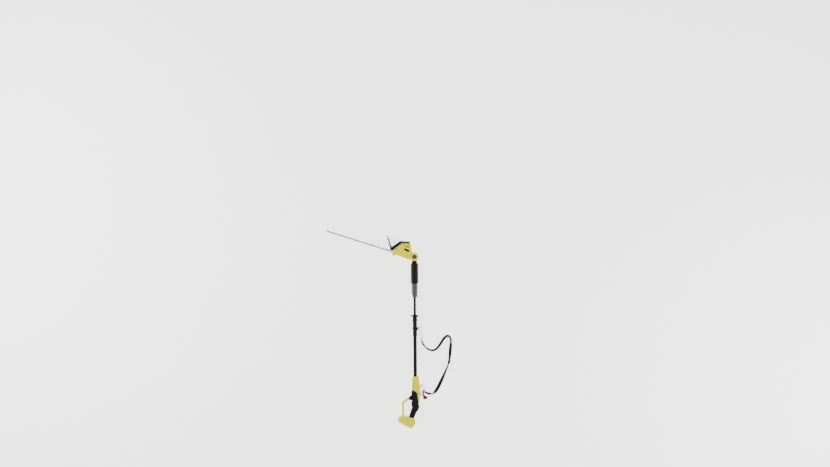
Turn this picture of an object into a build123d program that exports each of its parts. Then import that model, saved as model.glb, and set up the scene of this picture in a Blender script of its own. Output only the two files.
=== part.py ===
"""Battery pole hedge trimmer with a telescopic pole and a tilting cutting head.

It lies on its side, on the flat sides of its battery foot and its head guard.
+Y runs along the pole towards the head, +Z is up, and the origin is the middle
of the foot's flat side. Millimetres.
"""
from build123d import *
import os
from math import cos, hypot, radians, sin, tan

os.makedirs("parts", exist_ok=True)

# ---- where the trimmer lies
half_width = 40.0  # half of the foot's width: the height of the pole's axis
pole_x = 62.0  # the pole's axis, from the middle of the foot's flat side
butt_y = -44.0  # the butt end, from the same point

# ---- handle
wall = 2.6  # moulded shells
body_half = 22.0  # half thickness of the upper handle
core_half = 18.5  # half thickness of the handle under the soft grip
grip_half = 22.5  # half thickness over the soft grip
foot_tilt = 24.0  # the foot slopes down towards its right end
guard_width = 16.0
guard_half = 12.0

# ---- telescopic pole: outer diameter and wall of each tube
lower_od, middle_od, top_od = 28.0, 24.0, 20.0
tube_wall = 1.2
lower_start, lower_end = 235.0, 815.0
middle_start, middle_end = 245.0, 835.0
top_start, top_end = 255.0, 1010.0
bush_length = 30.0
running_fit = 0.05  # radial clearance of a bush or a shaft

# ---- coupling and head
socket_start, socket_end = 978.5, 1086.5
nut_start, nut_end = 1086.9, 1238.0
nut_od = 57.0
coupling_d = 44.0
pivot_y = 1289.0
head_tilt = 72.0  # the head is folded this far to the left
head_half = 38.0
tongue_half = 15.0
ear_radius = 31.0
slot_radius = 34.0
bolt_d = 10.0
button_radius = 16.8

# ---- cutting gear, measured along the blade (u) and square to it (n)
blade_tip = 697.0
tooth_pitch = 30.0
tooth_reach = 29.0
blade_thick = 2.2
stroke = 4.5
gear_teeth, pinion_teeth = 48, 12
motor_u, gear_u = 85.0, 120.0
module_mm = (gear_u - motor_u) * 2 / (gear_teeth + pinion_teeth)

# ---- carrying strap
webbing_width, webbing_thick = 25.0, 2.0
webbing_low = 3.5
carabiner_bar = 4.6
carabiner_half = 8.5

side_plane = Plane(origin=(pole_x, butt_y, half_width))
pole_axis = Axis((pole_x, butt_y, half_width), (0, 1, 0))


def pole_plane(y):
    """Plane square to the pole, y above the butt end, facing the head."""
    return Plane(origin=(pole_x, butt_y + y, half_width), x_dir=(1, 0, 0), z_dir=(0, 1, 0))


def outline(plane, points, radius=0.0):
    """Closed outline through the points, with every corner rounded to the radius."""
    with BuildSketch(plane) as sketch:
        with BuildLine():
            Polyline(*points, close=True)
        make_face()
        if radius:
            fillet(sketch.vertices(), radius)
    return sketch.sketch


def disc(plane, diameter, bore=0.0, at=(0, 0)):
    """Round section, with a bore if one is given."""
    with BuildSketch(plane) as sketch:
        with Locations(at):
            Circle(diameter / 2)
            if bore:
                Circle(bore / 2, mode=Mode.SUBTRACT)
    return sketch.sketch


def save(piece, name):
    """Label a finished piece and write its file."""
    piece.part.label = name
    export_step(piece.part, f"parts/{name}.step")


# =====================================================================
# Handle shells: two moulded halves that meet on the plane of the pole.
# Each carries the upper body, the core under the grip and the guard's lug.
# =====================================================================
body_points = [(-14, 383), (23, 390), (27, 367), (33, 317), (37, 281), (37, 246), (32, 205), (25, 178),
               (18, 226), (14, 260), (2, 273), (-25, 287), (-27, 300), (-24, 374)]
grip_points = [(24.7, 178), (25, 150), (17, 127), (8, 120), (-5, 91), (-13, 71), (-51, 81), (-47, 91),
               (-28, 147), (-24, 165), (-26, 201), (-32, 216), (-32, 239), (-25.3, 286.6), (1.7, 272.6),
               (13.7, 259.6), (17.7, 226)]
core_points = [(30, 205), (21, 178), (20, 150), (13, 128), (5, 122), (-8.5, 91), (-15, 73), (-47, 80),
               (-43.5, 91), (-24.5, 147), (-20.5, 166), (-22.5, 202), (-28.5, 217), (-28.5, 239),
               (-21.5, 287), (0, 290), (26, 270)]
lug_points = [(-49, 213), (-49, 229), (-24, 233), (-24, 207)]
lug_skin_points = [(-48.8, 211.2), (-48.8, 231.5), (-27, 246), (-26.2, 206.4)]
seat_ys = (245.0, 300.0, 352.0)  # ribs that hold the lower tube
handle_screw_spots = [(18.6, 371), (-17, 315), (28, 262), (-20.4, 231), (13, 196), (-13, 138), (-33, 92)]

body_outline = outline(side_plane, body_points, 2.0)
core_outline = outline(side_plane, core_points, 2.0)
with BuildSketch(side_plane) as cavity_profile:
    with BuildLine():
        Polyline((-10, 376), (20, 382), (24, 366), (30, 316), (34, 280), (34, 247), (29, 208), (18, 180),
                 (17, 151), (10.5, 130), (3, 124), (-11, 91), (-18, 70), (-44, 77), (-40.5, 91),
                 (-21.5, 147), (-17.5, 166), (-19.5, 202), (-25.5, 218), (-25.5, 239), (-22, 285),
                 (-24, 301), (-21, 371), close=True)
    make_face()
trigger_slot = outline(side_plane, [(-40, 151), (-10, 151), (-10, 206), (-40, 206)])
lockoff_slot = outline(side_plane, [(8, 128.5), (40, 128.5), (40, 178.5), (8, 178.5)])

with BuildPart() as handle_shell_left:
    extrude(body_outline, amount=body_half)
    fillet(handle_shell_left.faces().sort_by(Axis.Z)[-1].edges(), 1.8)
    extrude(core_outline, amount=core_half)
    extrude(outline(side_plane, lug_points, 2.0), amount=guard_half)
    extrude(cavity_profile.sketch, amount=core_half - wall, mode=Mode.SUBTRACT)
    for seat_y in seat_ys:
        extrude(outline(side_plane, [(-23, seat_y), (27, seat_y), (27, seat_y + 3), (-23, seat_y + 3)]),
                amount=core_half - wall)
    for x, y in handle_screw_spots:
        extrude(disc(side_plane, 9.0, at=(x, y)), amount=core_half - 1.0)
    extrude(disc(pole_plane(lower_start), lower_od), amount=170.0, mode=Mode.SUBTRACT)
    extrude(trigger_slot, amount=9.0, mode=Mode.SUBTRACT)
    extrude(lockoff_slot, amount=6.6, mode=Mode.SUBTRACT)
    for x, y in handle_screw_spots:
        extrude(disc(side_plane, 3.4, at=(x, y)), amount=body_half - 4.0, mode=Mode.SUBTRACT)
        head_bore = disc(side_plane.offset(body_half - 5.6), 7.4, at=(x, y))
        extrude(head_bore, amount=6.0, mode=Mode.SUBTRACT)
    # a plain sunk bar on the side of the body
    sunk_bar = outline(side_plane.offset(body_half - 0.8), [(-3, 298), (4, 298), (5, 342), (-2, 342)], 2.0)
    extrude(sunk_bar, amount=2.0, mode=Mode.SUBTRACT)
save(handle_shell_left, "handle_shell_left")

with BuildPart() as handle_shell_right:
    mirror(handle_shell_left.part, about=side_plane)
save(handle_shell_right, "handle_shell_right")

# Soft grip, moulded over each half: a skin round the core with a ribbed side.
grip_outline = outline(side_plane, grip_points, 1.5)
with BuildPart() as grip_left:
    extrude(grip_outline, amount=grip_half)
    fillet(grip_left.faces().sort_by(Axis.Z)[-1].edges(), 1.4)
    extrude(outline(side_plane, lug_skin_points, 1.5), amount=guard_half + 1.6)
    extrude(core_outline, amount=core_half, mode=Mode.SUBTRACT)
    extrude(body_outline, amount=grip_half, mode=Mode.SUBTRACT)
    extrude(outline(side_plane, lug_points, 2.0), amount=guard_half, mode=Mode.SUBTRACT)
    extrude(cavity_profile.sketch, amount=core_half - wall, mode=Mode.SUBTRACT)
    extrude(trigger_slot, amount=9.0, mode=Mode.SUBTRACT)
    extrude(lockoff_slot, amount=6.6, mode=Mode.SUBTRACT)
    for x, y in handle_screw_spots:
        extrude(disc(side_plane, 7.4, at=(x, y)), amount=grip_half, mode=Mode.SUBTRACT)
    for step in range(6):
        rib_y = 104 + step * 9
        rib_x = -24 + step * 3.4
        groove = outline(side_plane.offset(grip_half - 0.9),
                         [(rib_x - 12, rib_y + 4), (rib_x + 12, rib_y - 4), (rib_x + 12, rib_y - 1.4),
                          (rib_x - 12, rib_y + 6.6)])
        extrude(groove, amount=2.0, mode=Mode.SUBTRACT)
save(grip_left, "grip_left")

with BuildPart() as grip_right:
    mirror(grip_left.part, about=side_plane)
save(grip_right, "grip_right")

# Hand guard: a bow from the foot to the lug at the top of the grip.
with BuildSketch(side_plane) as guard_profile:
    with BuildLine():
        FilletPolyline((-95, 80), (-95, 190), (-49.2, 221), radius=16)
    trace(line_width=guard_width)
with BuildPart() as hand_guard:
    extrude(guard_profile.sketch, amount=guard_half, both=True)
    chamfer(hand_guard.faces().sort_by(Axis.Z)[-1].edges(), 3.0)
    chamfer(hand_guard.faces().sort_by(Axis.Z)[0].edges(), 3.0)
    beyond_lug = outline(side_plane, [(-49, 200), (-20, 200), (-20, 240), (-49, 240)])
    extrude(beyond_lug, amount=20.0, both=True, mode=Mode.SUBTRACT)
save(hand_guard, "hand_guard")

# =====================================================================
# Foot: the battery slides into a T-shaped bay along its underside.
# =====================================================================
foot_centre = (pole_x - 66.0, butt_y + 45.0, half_width)
foot_dir = (cos(radians(foot_tilt)), -sin(radians(foot_tilt)), 0)
foot_plane = Plane(origin=foot_centre, x_dir=foot_dir, z_dir=(0, 0, 1))
foot_points = [(-66, 15.5), (-70.3, -11.6), (-56.5, -23), (-24.9, -26.5), (11.7, -29.5), (40, -31.2),
               (53.6, -22.1), (60, -1.3), (63.9, 16.4), (60, 23), (10.4, 23.3), (-28, 33.2), (-38, 33.5)]
bay_half, mouth_half = 31.0, 27.0
bay_roof, bay_lip, bay_back = -7.0, -20.0, -50.0
contact_half_gap = 18.0

with BuildPart() as battery_bay:
    extrude(outline(foot_plane, foot_points, 3.0), amount=half_width, both=True)
    chamfer(battery_bay.faces().sort_by(Axis.Z)[-1].edges(), 2.5)
    chamfer(battery_bay.faces().sort_by(Axis.Z)[0].edges(), 2.5)
    bay = outline(foot_plane, [(bay_back, bay_lip), (75, bay_lip), (75, bay_roof), (bay_back, bay_roof)])
    extrude(bay, amount=bay_half, both=True, mode=Mode.SUBTRACT)
    mouth = outline(foot_plane, [(bay_back, -40), (75, -40), (75, bay_lip + 1), (bay_back, bay_lip + 1)])
    extrude(mouth, amount=mouth_half, both=True, mode=Mode.SUBTRACT)
    loft_points = [(-50, -4.4), (48, -4.4), (48, 30), (12, 30), (-30, 23.5), (-50, 13)]
    extrude(outline(foot_plane, loft_points), amount=half_width - 4, both=True, mode=Mode.SUBTRACT)
    block_hole = outline(foot_plane, [(-48.2, -10), (-35.8, -10), (-35.8, 0), (-48.2, 0)])
    extrude(block_hole, amount=contact_half_gap, both=True, mode=Mode.SUBTRACT)
    guard_hole = outline(side_plane, [(-103.3, 79.7), (-86.7, 79.7), (-86.7, 100), (-103.3, 100)])
    extrude(guard_hole, amount=guard_half + 0.3, both=True, mode=Mode.SUBTRACT)
save(battery_bay, "battery_bay")

base_points = [(-27.6, 33.6), (0, 37.4), (42.1, 40.6), (52.6, 34.4), (59.6, 23.3), (10.8, 23.6)]
collar_points = [(-6, 34), (-2.6, 38.8), (39.5, 47.2), (45, 40), (45, 34)]
with BuildPart() as handle_base:
    extrude(outline(foot_plane, base_points, 1.5), amount=half_width, both=True)
    chamfer(handle_base.faces().sort_by(Axis.Z)[-1].edges(), 1.4)
    chamfer(handle_base.faces().sort_by(Axis.Z)[0].edges(), 1.4)
    extrude(outline(foot_plane, collar_points, 1.0), amount=grip_half + 2.5, both=True)
    extrude(grip_outline, amount=grip_half, both=True, mode=Mode.SUBTRACT)
    extrude(core_outline, amount=core_half, both=True, mode=Mode.SUBTRACT)
    passage = outline(foot_plane, [(6, 10), (32, 10), (32, 60), (6, 60)])
    extrude(passage, amount=14.0, both=True, mode=Mode.SUBTRACT)
save(handle_base, "handle_base")

# Terminal block with its four contact blades, pointing at the incoming battery.
blade_zs = (-12.0, -4.0, 4.0, 12.0)
with BuildPart() as terminal_block:
    block = outline(foot_plane, [(-48, -18), (-36, -18), (-36, 2), (-48, 2)])
    extrude(block, amount=contact_half_gap - 0.2, both=True)
    for z in blade_zs:
        blade_cut = outline(foot_plane.offset(z - 0.5), [(-40, -15), (-30, -15), (-30, -10), (-40, -10)])
        extrude(blade_cut, amount=1.0, mode=Mode.SUBTRACT)
save(terminal_block, "terminal_block")

with BuildPart() as contact_blades:
    for z in blade_zs:
        blade = outline(foot_plane.offset(z - 0.5), [(-40, -15), (-20, -15), (-20, -10), (-40, -10)])
        extrude(blade, amount=1.0)
save(contact_blades, "contact_blades")

# =====================================================================
# Trigger, lock-off lever and the switch between them.
# =====================================================================
trigger_pin_at = (-15, 199)
lockoff_pin_at = (14, 172)
pin_d = 4.0
with BuildPart() as trigger:
    extrude(outline(side_plane, [(-11, 203), (-25, 203.5), (-32.5, 190), (-31.5, 174), (-27, 157),
                                 (-22, 152), (-15, 152), (-13, 170)], 1.8), amount=8.2, both=True)
    fillet(trigger.faces().sort_by(Axis.Z)[-1].edges(), 1.2)
    fillet(trigger.faces().sort_by(Axis.Z)[0].edges(), 1.2)
    pin_hole = disc(side_plane, pin_d + 2 * running_fit, at=trigger_pin_at)
    extrude(pin_hole, amount=10.0, both=True, mode=Mode.SUBTRACT)
save(trigger, "trigger")

with BuildPart() as lockoff_lever:
    extrude(outline(side_plane, [(11, 177), (23, 177.6), (28.6, 170), (28.5, 152), (20, 130.5),
                                 (15, 130), (13, 150), (10.5, 166)], 1.4), amount=6.0, both=True)
    fillet(lockoff_lever.faces().sort_by(Axis.Z)[-1].edges(), 1.0)
    fillet(lockoff_lever.faces().sort_by(Axis.Z)[0].edges(), 1.0)
    pin_hole = disc(side_plane, pin_d + 2 * running_fit, at=lockoff_pin_at)
    extrude(pin_hole, amount=10.0, both=True, mode=Mode.SUBTRACT)
save(lockoff_lever, "lockoff_lever")

with BuildPart() as control_pins:
    extrude(disc(side_plane, pin_d, at=trigger_pin_at), amount=core_half - wall, both=True)
    extrude(disc(side_plane, pin_d, at=lockoff_pin_at), amount=core_half - wall, both=True)
save(control_pins, "control_pins")

with BuildPart() as switch_unit:
    switch_body = outline(side_plane, [(-4, 156), (5, 156), (5, 186), (-4, 186)], 1.0)
    extrude(switch_body, amount=core_half - wall, both=True)
    plunger = outline(side_plane, [(-6.5, 160), (-3, 160), (-3, 165), (-6.5, 165)])
    extrude(plunger, amount=3.0, both=True)
save(switch_unit, "switch_unit")

with BuildPart() as handle_screws:
    for x, y in handle_screw_spots:
        extrude(disc(side_plane.offset(body_half - 5.6), 7.2, at=(x, y)), amount=2.4)
        extrude(disc(side_plane.offset(-6.0), 3.4, at=(x, y)), amount=6.0 + body_half - 5.6)
save(handle_screws, "handle_screws")

# Leads: battery to switch, and switch to the coil that follows the pole.
lead_d, coil_d = 5.0, 14.0
with BuildPart() as battery_leads:
    with BuildLine(side_plane) as lead_line:
        FilletPolyline((-101.6, 63.3), (-97.5, 72), (-50, 52), (-19.6, 98), (0.5, 140), (0.5, 156),
                       radius=(6, 14, 30, 12))
    with BuildSketch(Plane(origin=lead_line.line @ 0, z_dir=lead_line.line % 0)) as lead_section:
        Circle(lead_d / 2)
    sweep(lead_section.sketch, path=lead_line.line)
save(battery_leads, "battery_leads")

with BuildPart() as coiled_lead:
    extrude(disc(pole_plane(186.0), 6.0), amount=59.0)
    extrude(disc(pole_plane(245.0), coil_d), amount=715.0)
save(coiled_lead, "coiled_lead")

# =====================================================================
# Lower tube, fixed in the handle, with the front grip and the lock ring.
# =====================================================================
def tube(start, end, outer, bore):
    """A round tube on the pole's axis, between two heights."""
    with BuildPart() as piece:
        extrude(disc(pole_plane(start), outer, bore), amount=end - start)
    return piece


def turned(points):
    """Outline of (radius, height) points beside the pole's axis, to be revolved about it."""
    return outline(side_plane, points)


grip_start, grip_end = 692.0, 815.0
sleeve_od = 32.6
lock_end = 829.6
lower_tube = tube(lower_start, lower_end, lower_od, lower_od - 2 * tube_wall)
save(lower_tube, "lower_tube")

bush_bore = middle_od + 2 * running_fit
lower_bush = tube(lower_end - bush_length, lower_end, lower_od - 2 * tube_wall, bush_bore)
save(lower_bush, "lower_bush")

groove_count, groove_pitch = 9, 5.0
with BuildPart() as front_grip:
    revolve(turned([(lower_od / 2, grip_start), (sleeve_od / 2 - 0.6, grip_start),
                    (sleeve_od / 2, grip_start + 1.5), (sleeve_od / 2, grip_end - 12),
                    (sleeve_od / 2 + 1.6, grip_end - 9), (sleeve_od / 2 + 1.6, grip_end - 3),
                    (sleeve_od / 2, grip_end), (lower_od / 2, grip_end)]), axis=pole_axis)
    for ring_number in range(groove_count):
        groove_y = grip_start + 42 + ring_number * groove_pitch
        extrude(disc(pole_plane(groove_y), sleeve_od + 2, sleeve_od - 1.6), amount=1.4, mode=Mode.SUBTRACT)
save(front_grip, "front_grip")

# The lock ring turns to free the middle tube.
flute_count = 12
with BuildPart() as lower_lock_ring:
    revolve(turned([(middle_od / 2 + 0.4, grip_end + 0.4), (16.2, grip_end + 0.4), (17.4, grip_end + 2),
                    (17.4, lock_end - 2.5), (15.4, lock_end), (middle_od / 2 + 0.4, lock_end)]),
            axis=pole_axis)
    for flute in range(flute_count):
        angle = radians(360 / flute_count * flute)
        flute_cut = disc(pole_plane(grip_end), 2.4, at=(17.6 * cos(angle), 17.6 * sin(angle)))
        extrude(flute_cut, amount=lock_end - grip_end + 1, mode=Mode.SUBTRACT)
save(lower_lock_ring, "lower_lock_ring")

# =====================================================================
# Middle section: tube, sliding bushes and the flared lock collar.
# =====================================================================
middle_tube = tube(middle_start, middle_end, middle_od, middle_od - 2 * tube_wall)
save(middle_tube, "middle_tube")

middle_foot_bush = tube(middle_start, middle_start + bush_length,
                        lower_od - 2 * tube_wall - 2 * running_fit, middle_od)
save(middle_foot_bush, "middle_foot_bush")

middle_bush = tube(middle_end - bush_length, middle_end, middle_od - 2 * tube_wall,
                   top_od + 2 * running_fit)
save(middle_bush, "middle_bush")

with BuildPart() as upper_lock_base:
    revolve(turned([(middle_od / 2, 830.2), (15.6, 830.2), (17.2, 832), (20.2, 835.6),
                    (middle_od / 2, 835.6)]), axis=pole_axis)
save(upper_lock_base, "upper_lock_base")

collar_lobes = 16
with BuildPart() as upper_lock_collar:
    revolve(turned([(top_od / 2 + 0.4, 836), (20.8, 836), (25, 839.5), (29.4, 842), (31, 844),
                    (31, 847.5), (29.6, 849), (16, 849), (13.5, 852), (top_od / 2 + 0.4, 852)]),
            axis=pole_axis)
    for lobe in range(collar_lobes):
        angle = radians(360 / collar_lobes * lobe)
        lobe_cut = disc(pole_plane(841), 4.0, at=(32.2 * cos(angle), 32.2 * sin(angle)))
        extrude(lobe_cut, amount=12.0, mode=Mode.SUBTRACT)
save(upper_lock_collar, "upper_lock_collar")

# =====================================================================
# Top section: tube, grey socket, plug, and the knuckle the head tilts on.
# =====================================================================
top_bore = top_od - 2 * tube_wall
top_tube = tube(top_start, top_end, top_od, top_bore)
save(top_tube, "top_tube")

top_foot_bush = tube(top_start, top_start + bush_length,
                     middle_od - 2 * tube_wall - 2 * running_fit, top_od)
save(top_foot_bush, "top_foot_bush")

screw_y = 993.0
flat_depth = 1.6
with BuildPart() as socket:
    revolve(turned([(top_od / 2, socket_start), (15.4, socket_start), (16.8, socket_start + 2),
                    (17.4, socket_start + 14), (21.8, socket_start + 38), (22.5, socket_start + 46),
                    (22.5, socket_end), (coupling_d / 2, socket_end), (coupling_d / 2, 1149),
                    (15.2, 1149), (15.2, top_end + 2), (top_od / 2, top_end + 2)]), axis=pole_axis)
    for side in (-1, 1):
        thumb_flat = Plane(origin=(pole_x, butt_y + 1050, half_width + side * (22.5 - flat_depth)),
                           z_dir=(0, 0, side))
        with BuildSketch(thumb_flat) as flat:
            SlotOverall(44, 20, rotation=90)
        extrude(flat.sketch, amount=6.0, mode=Mode.SUBTRACT)
    screw_bore = Plane(origin=(pole_x + 6, butt_y + screw_y, half_width), z_dir=(1, 0, 0))
    extrude(disc(screw_bore, 5.0), amount=20.0, mode=Mode.SUBTRACT)
save(socket, "socket")

with BuildPart() as socket_screw:
    screw_plane = Plane(origin=(pole_x + 10.1, butt_y + screw_y, half_width), z_dir=(1, 0, 0))
    extrude(disc(screw_plane, 5.0), amount=8.4)
    extrude(disc(screw_plane.offset(8.4), 11.0), amount=5.0)
    chamfer(socket_screw.faces().sort_by(Axis.X)[-1].edges(), 1.0)
    with BuildSketch(screw_plane.offset(10.4)) as hex_cut:
        RegularPolygon(2.6, 6)
    extrude(hex_cut.sketch, amount=6.0, mode=Mode.SUBTRACT)
save(socket_screw, "socket_screw")

plug_pins = 4
with BuildPart() as coupling_plug:
    extrude(disc(pole_plane(1060), 30.4), amount=96.0)
    extrude(disc(pole_plane(1050), 7.0), amount=10.0)
save(coupling_plug, "coupling_plug")

with BuildPart() as plug_pins_group:
    for pin in range(plug_pins):
        angle = radians(45 + 360 / plug_pins * pin)
        extrude(disc(pole_plane(1156), 3.0, at=(8 * cos(angle), 8 * sin(angle))), amount=14.0)
save(plug_pins_group, "plug_pins")

# Union nut: turns on the coupling and clamps the knuckle to the socket.
nut_grooves, nut_groove_width, nut_groove_depth = 6, 13.0, 3.2
with BuildPart() as union_nut:
    nut_bore = coupling_d / 2 + running_fit
    revolve(turned([(nut_bore, nut_start), (26.5, nut_start), (28, nut_start + 1.6),
                    (nut_od / 2, nut_start + 5), (nut_od / 2, nut_end - 12), (27.4, nut_end - 5),
                    (25, nut_end - 0.6), (nut_bore, nut_end - 0.6)]), axis=pole_axis)
    for groove in range(nut_grooves):
        angle = 360 / nut_grooves * groove + 90
        groove_plane = pole_plane(nut_start + 12).rotated((0, 0, angle))
        with BuildSketch(groove_plane) as groove_section:
            with Locations((nut_od / 2, 0)):
                Rectangle(2 * nut_groove_depth, nut_groove_width)
        extrude(groove_section.sketch, amount=nut_end - nut_start - 27, mode=Mode.SUBTRACT)
save(union_nut, "union_nut")

pivot_plane = Plane(origin=(pole_x, butt_y + pivot_y, half_width))
neck_half = 19.0
with BuildPart() as knuckle:
    revolve(turned([(0, 1174), (18, 1174), (18, 1149.6), (coupling_d / 2, 1149.6),
                    (coupling_d / 2, nut_end), (21, nut_end + 3), (0, nut_end + 3)]), axis=pole_axis)
    neck = outline(side_plane, [(-neck_half, nut_end), (neck_half, nut_end),
                                (neck_half, pivot_y), (-neck_half, pivot_y)])
    extrude(neck, amount=tongue_half, both=True)
    extrude(disc(pivot_plane, 56.0), amount=tongue_half, both=True)
    extrude(disc(pivot_plane, bolt_d), amount=20, both=True, mode=Mode.SUBTRACT)
    extrude(disc(pole_plane(1150), 9.0), amount=84.0, mode=Mode.SUBTRACT)
save(knuckle, "knuckle")

with BuildPart() as pivot_bolt:
    extrude(disc(pivot_plane.offset(-37.5), 18.0), amount=7.0)
    with BuildSketch(pivot_plane.offset(-37.5)) as bolt_hex:
        RegularPolygon(4.6, 6)
    extrude(bolt_hex.sketch, amount=4.0, mode=Mode.SUBTRACT)
    extrude(disc(pivot_plane.offset(-30.5), bolt_d), amount=52.0)
save(pivot_bolt, "pivot_bolt")

# =====================================================================
# Cutting head. On head_plane x runs square to the blade (n) and y along it (u).
# =====================================================================
tilt = radians(head_tilt)
head_n = Vector(cos(tilt), sin(tilt), 0)
head_plane = Plane(origin=pivot_plane.origin, x_dir=head_n, z_dir=(0, 0, 1))


def blade_plane(n):
    """Plane square to n, at n from the pivot: x across the blade, y along it, facing +n."""
    return Plane(origin=head_plane.origin + head_n * n, x_dir=(0, 0, -1), z_dir=head_n)


head_points = [(35, 30), (84, 55), (89, 66), (70, 118), (-6, 172), (-22, 172), (-30, 162), (-28, 100),
               (-33, 88), (-31, 20), (20, 20)]
head_cavity_points = [(-27, 41), (34, 41), (79, 61), (84, 67), (66.5, 115), (-8, 168), (-19, 168),
                      (-26, 158), (-24.5, 100), (-29, 87)]
foot_boss_at = (-32, 154)
head_screw_spots = [(-32, 154), (-24, 45), (28, 27), (78, 66), (64, 109), (14, 144)]
slot_half = tongue_half + 0.6
vent_count, vent_pitch = 5, 7.0
blade_exit = outline(head_plane, [(-21.5, 150), (-5, 150), (-5, 190), (-21.5, 190)])

shoulder = 9.0  # height of the sloping shoulder round each half
shoulder_in = 4.5


def head_shell(side):
    """One half of the casing: side is 1 for the upper half and -1 for the lower one."""
    with BuildSketch(head_plane.offset(side * (head_half - shoulder))) as shoulder_low:
        add(outline(Plane.XY, head_points, 6.0))
    with BuildSketch(head_plane.offset(side * head_half)) as shoulder_top:
        add(outline(Plane.XY, head_points, 6.0))
        offset(amount=-shoulder_in, mode=Mode.REPLACE)
    with BuildSketch(head_plane) as inner_cavity:
        add(outline(Plane.XY, head_cavity_points, 2.0))
        offset(amount=-shoulder_in, mode=Mode.REPLACE)
    with BuildPart() as shell:
        extrude(disc(head_plane, 2 * ear_radius), amount=side * head_half)
        chamfer(shell.faces().sort_by(Axis.Z, reverse=side < 0)[-1].edges(), 2.4)
        extrude(outline(head_plane, head_points, 6.0), amount=side * (head_half - shoulder))
        loft([shoulder_low.sketch, shoulder_top.sketch])
        extrude(disc(head_plane, 18.0, at=foot_boss_at), amount=side * (head_half - 12))
        extrude(outline(head_plane, head_cavity_points, 2.0), amount=side * (head_half - shoulder - 1),
                mode=Mode.SUBTRACT)
        extrude(inner_cavity.sketch, amount=side * (head_half - wall), mode=Mode.SUBTRACT)
        for n, u in head_screw_spots:
            extrude(disc(head_plane, 8.6, at=(n, u)), amount=side * (head_half - 10))
        extrude(disc(head_plane, 2 * slot_radius), amount=side * slot_half, mode=Mode.SUBTRACT)
        extrude(outline(head_plane, [(-4, 20), (4, 20), (4, 44), (-4, 44)]), amount=side * 4.0,
                mode=Mode.SUBTRACT)
        extrude(disc(head_plane, bolt_d + 2 * running_fit), amount=side * 50.0, mode=Mode.SUBTRACT)
        extrude(blade_exit, amount=side * 32.0, mode=Mode.SUBTRACT)
        for vent in range(vent_count):
            vent_u = 60 + vent * vent_pitch
            vent_cut = outline(head_plane.offset(side * (head_half - 12)),
                               [(50, vent_u), (66 - vent, vent_u), (66 - vent, vent_u + 3.6),
                                (50, vent_u + 3.6)], 1.2)
            extrude(vent_cut, amount=side * 14.0, mode=Mode.SUBTRACT)
        for n, u in head_screw_spots:
            extrude(disc(head_plane, 3.4, at=(n, u)), amount=side * 20, mode=Mode.SUBTRACT)
    return shell


def badge_outline(plane, inset):
    """Slanted plain badge on the head's side."""
    return outline(plane, [(20 + inset, 52 + inset), (35 - inset, 48 + inset), (41 - inset, 88 - inset),
                           (26 + inset, 92 - inset)], 2.8)


upper_half = head_shell(1)
with BuildPart() as head_shell_left:
    add(upper_half.part)
    extrude(disc(head_plane.offset(head_half - 13.5), 2 * button_radius + 0.8), amount=20.0,
            mode=Mode.SUBTRACT)
    extrude(badge_outline(head_plane.offset(head_half - 1.0), 0.0), amount=4.0, mode=Mode.SUBTRACT)
    for n, u in head_screw_spots:
        extrude(disc(head_plane.offset(head_half - 13), 7.6, at=(n, u)), amount=20.0, mode=Mode.SUBTRACT)
        extrude(disc(head_plane, 3.4, at=(n, u)), amount=head_half, mode=Mode.SUBTRACT)
save(head_shell_left, "head_shell_left")

lower_half = head_shell(-1)
with BuildPart() as head_shell_right:
    add(lower_half.part)
    extrude(disc(head_plane.offset(-head_half), 18.8), amount=8.0, mode=Mode.SUBTRACT)
save(head_shell_right, "head_shell_right")

with BuildPart() as badge_plate:
    extrude(badge_outline(head_plane.offset(head_half - 1.0), 0.3), amount=1.4)
save(badge_plate, "badge_plate")

with BuildPart() as head_screws:
    for n, u in head_screw_spots:
        extrude(disc(head_plane.offset(head_half - 13), 7.4, at=(n, u)), amount=3.0)
        extrude(disc(head_plane.offset(-19), 3.4, at=(n, u)), amount=19 + head_half - 13)
save(head_screws, "head_screws")

with BuildPart() as tilt_button:
    extrude(disc(head_plane.offset(head_half - 8.0), 2 * button_radius), amount=9.6)
    fillet(tilt_button.faces().sort_by(Axis.Z)[-1].edges(), 1.6)
    for rib in (-8, -4, 0, 4, 8):
        grip_rib = outline(head_plane.offset(head_half + 1.0),
                           [(rib - 0.7, -9), (rib + 0.7, -9), (rib + 0.7, 9), (rib - 0.7, 9)])
        extrude(grip_rib, amount=2.0, mode=Mode.SUBTRACT)
save(tilt_button, "tilt_button")

# Black guard over the front of the head, and the upright plate before the blade.
with BuildPart() as top_guard:
    guard_outline = outline(head_plane, [(98.5, 66), (81, 137), (14, 190), (-5, 197), (-6.2, 173),
                                         (70.6, 119), (89.8, 65)], 0.0)
    extrude(guard_outline, amount=half_width, both=True)
    chamfer(top_guard.faces().filter_by(Plane.XY).sort_by(Axis.Z)[-1].edges(), 2.0)
    chamfer(top_guard.faces().filter_by(Plane.XY).sort_by(Axis.Z)[0].edges(), 2.0)
save(top_guard, "top_guard")

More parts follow.
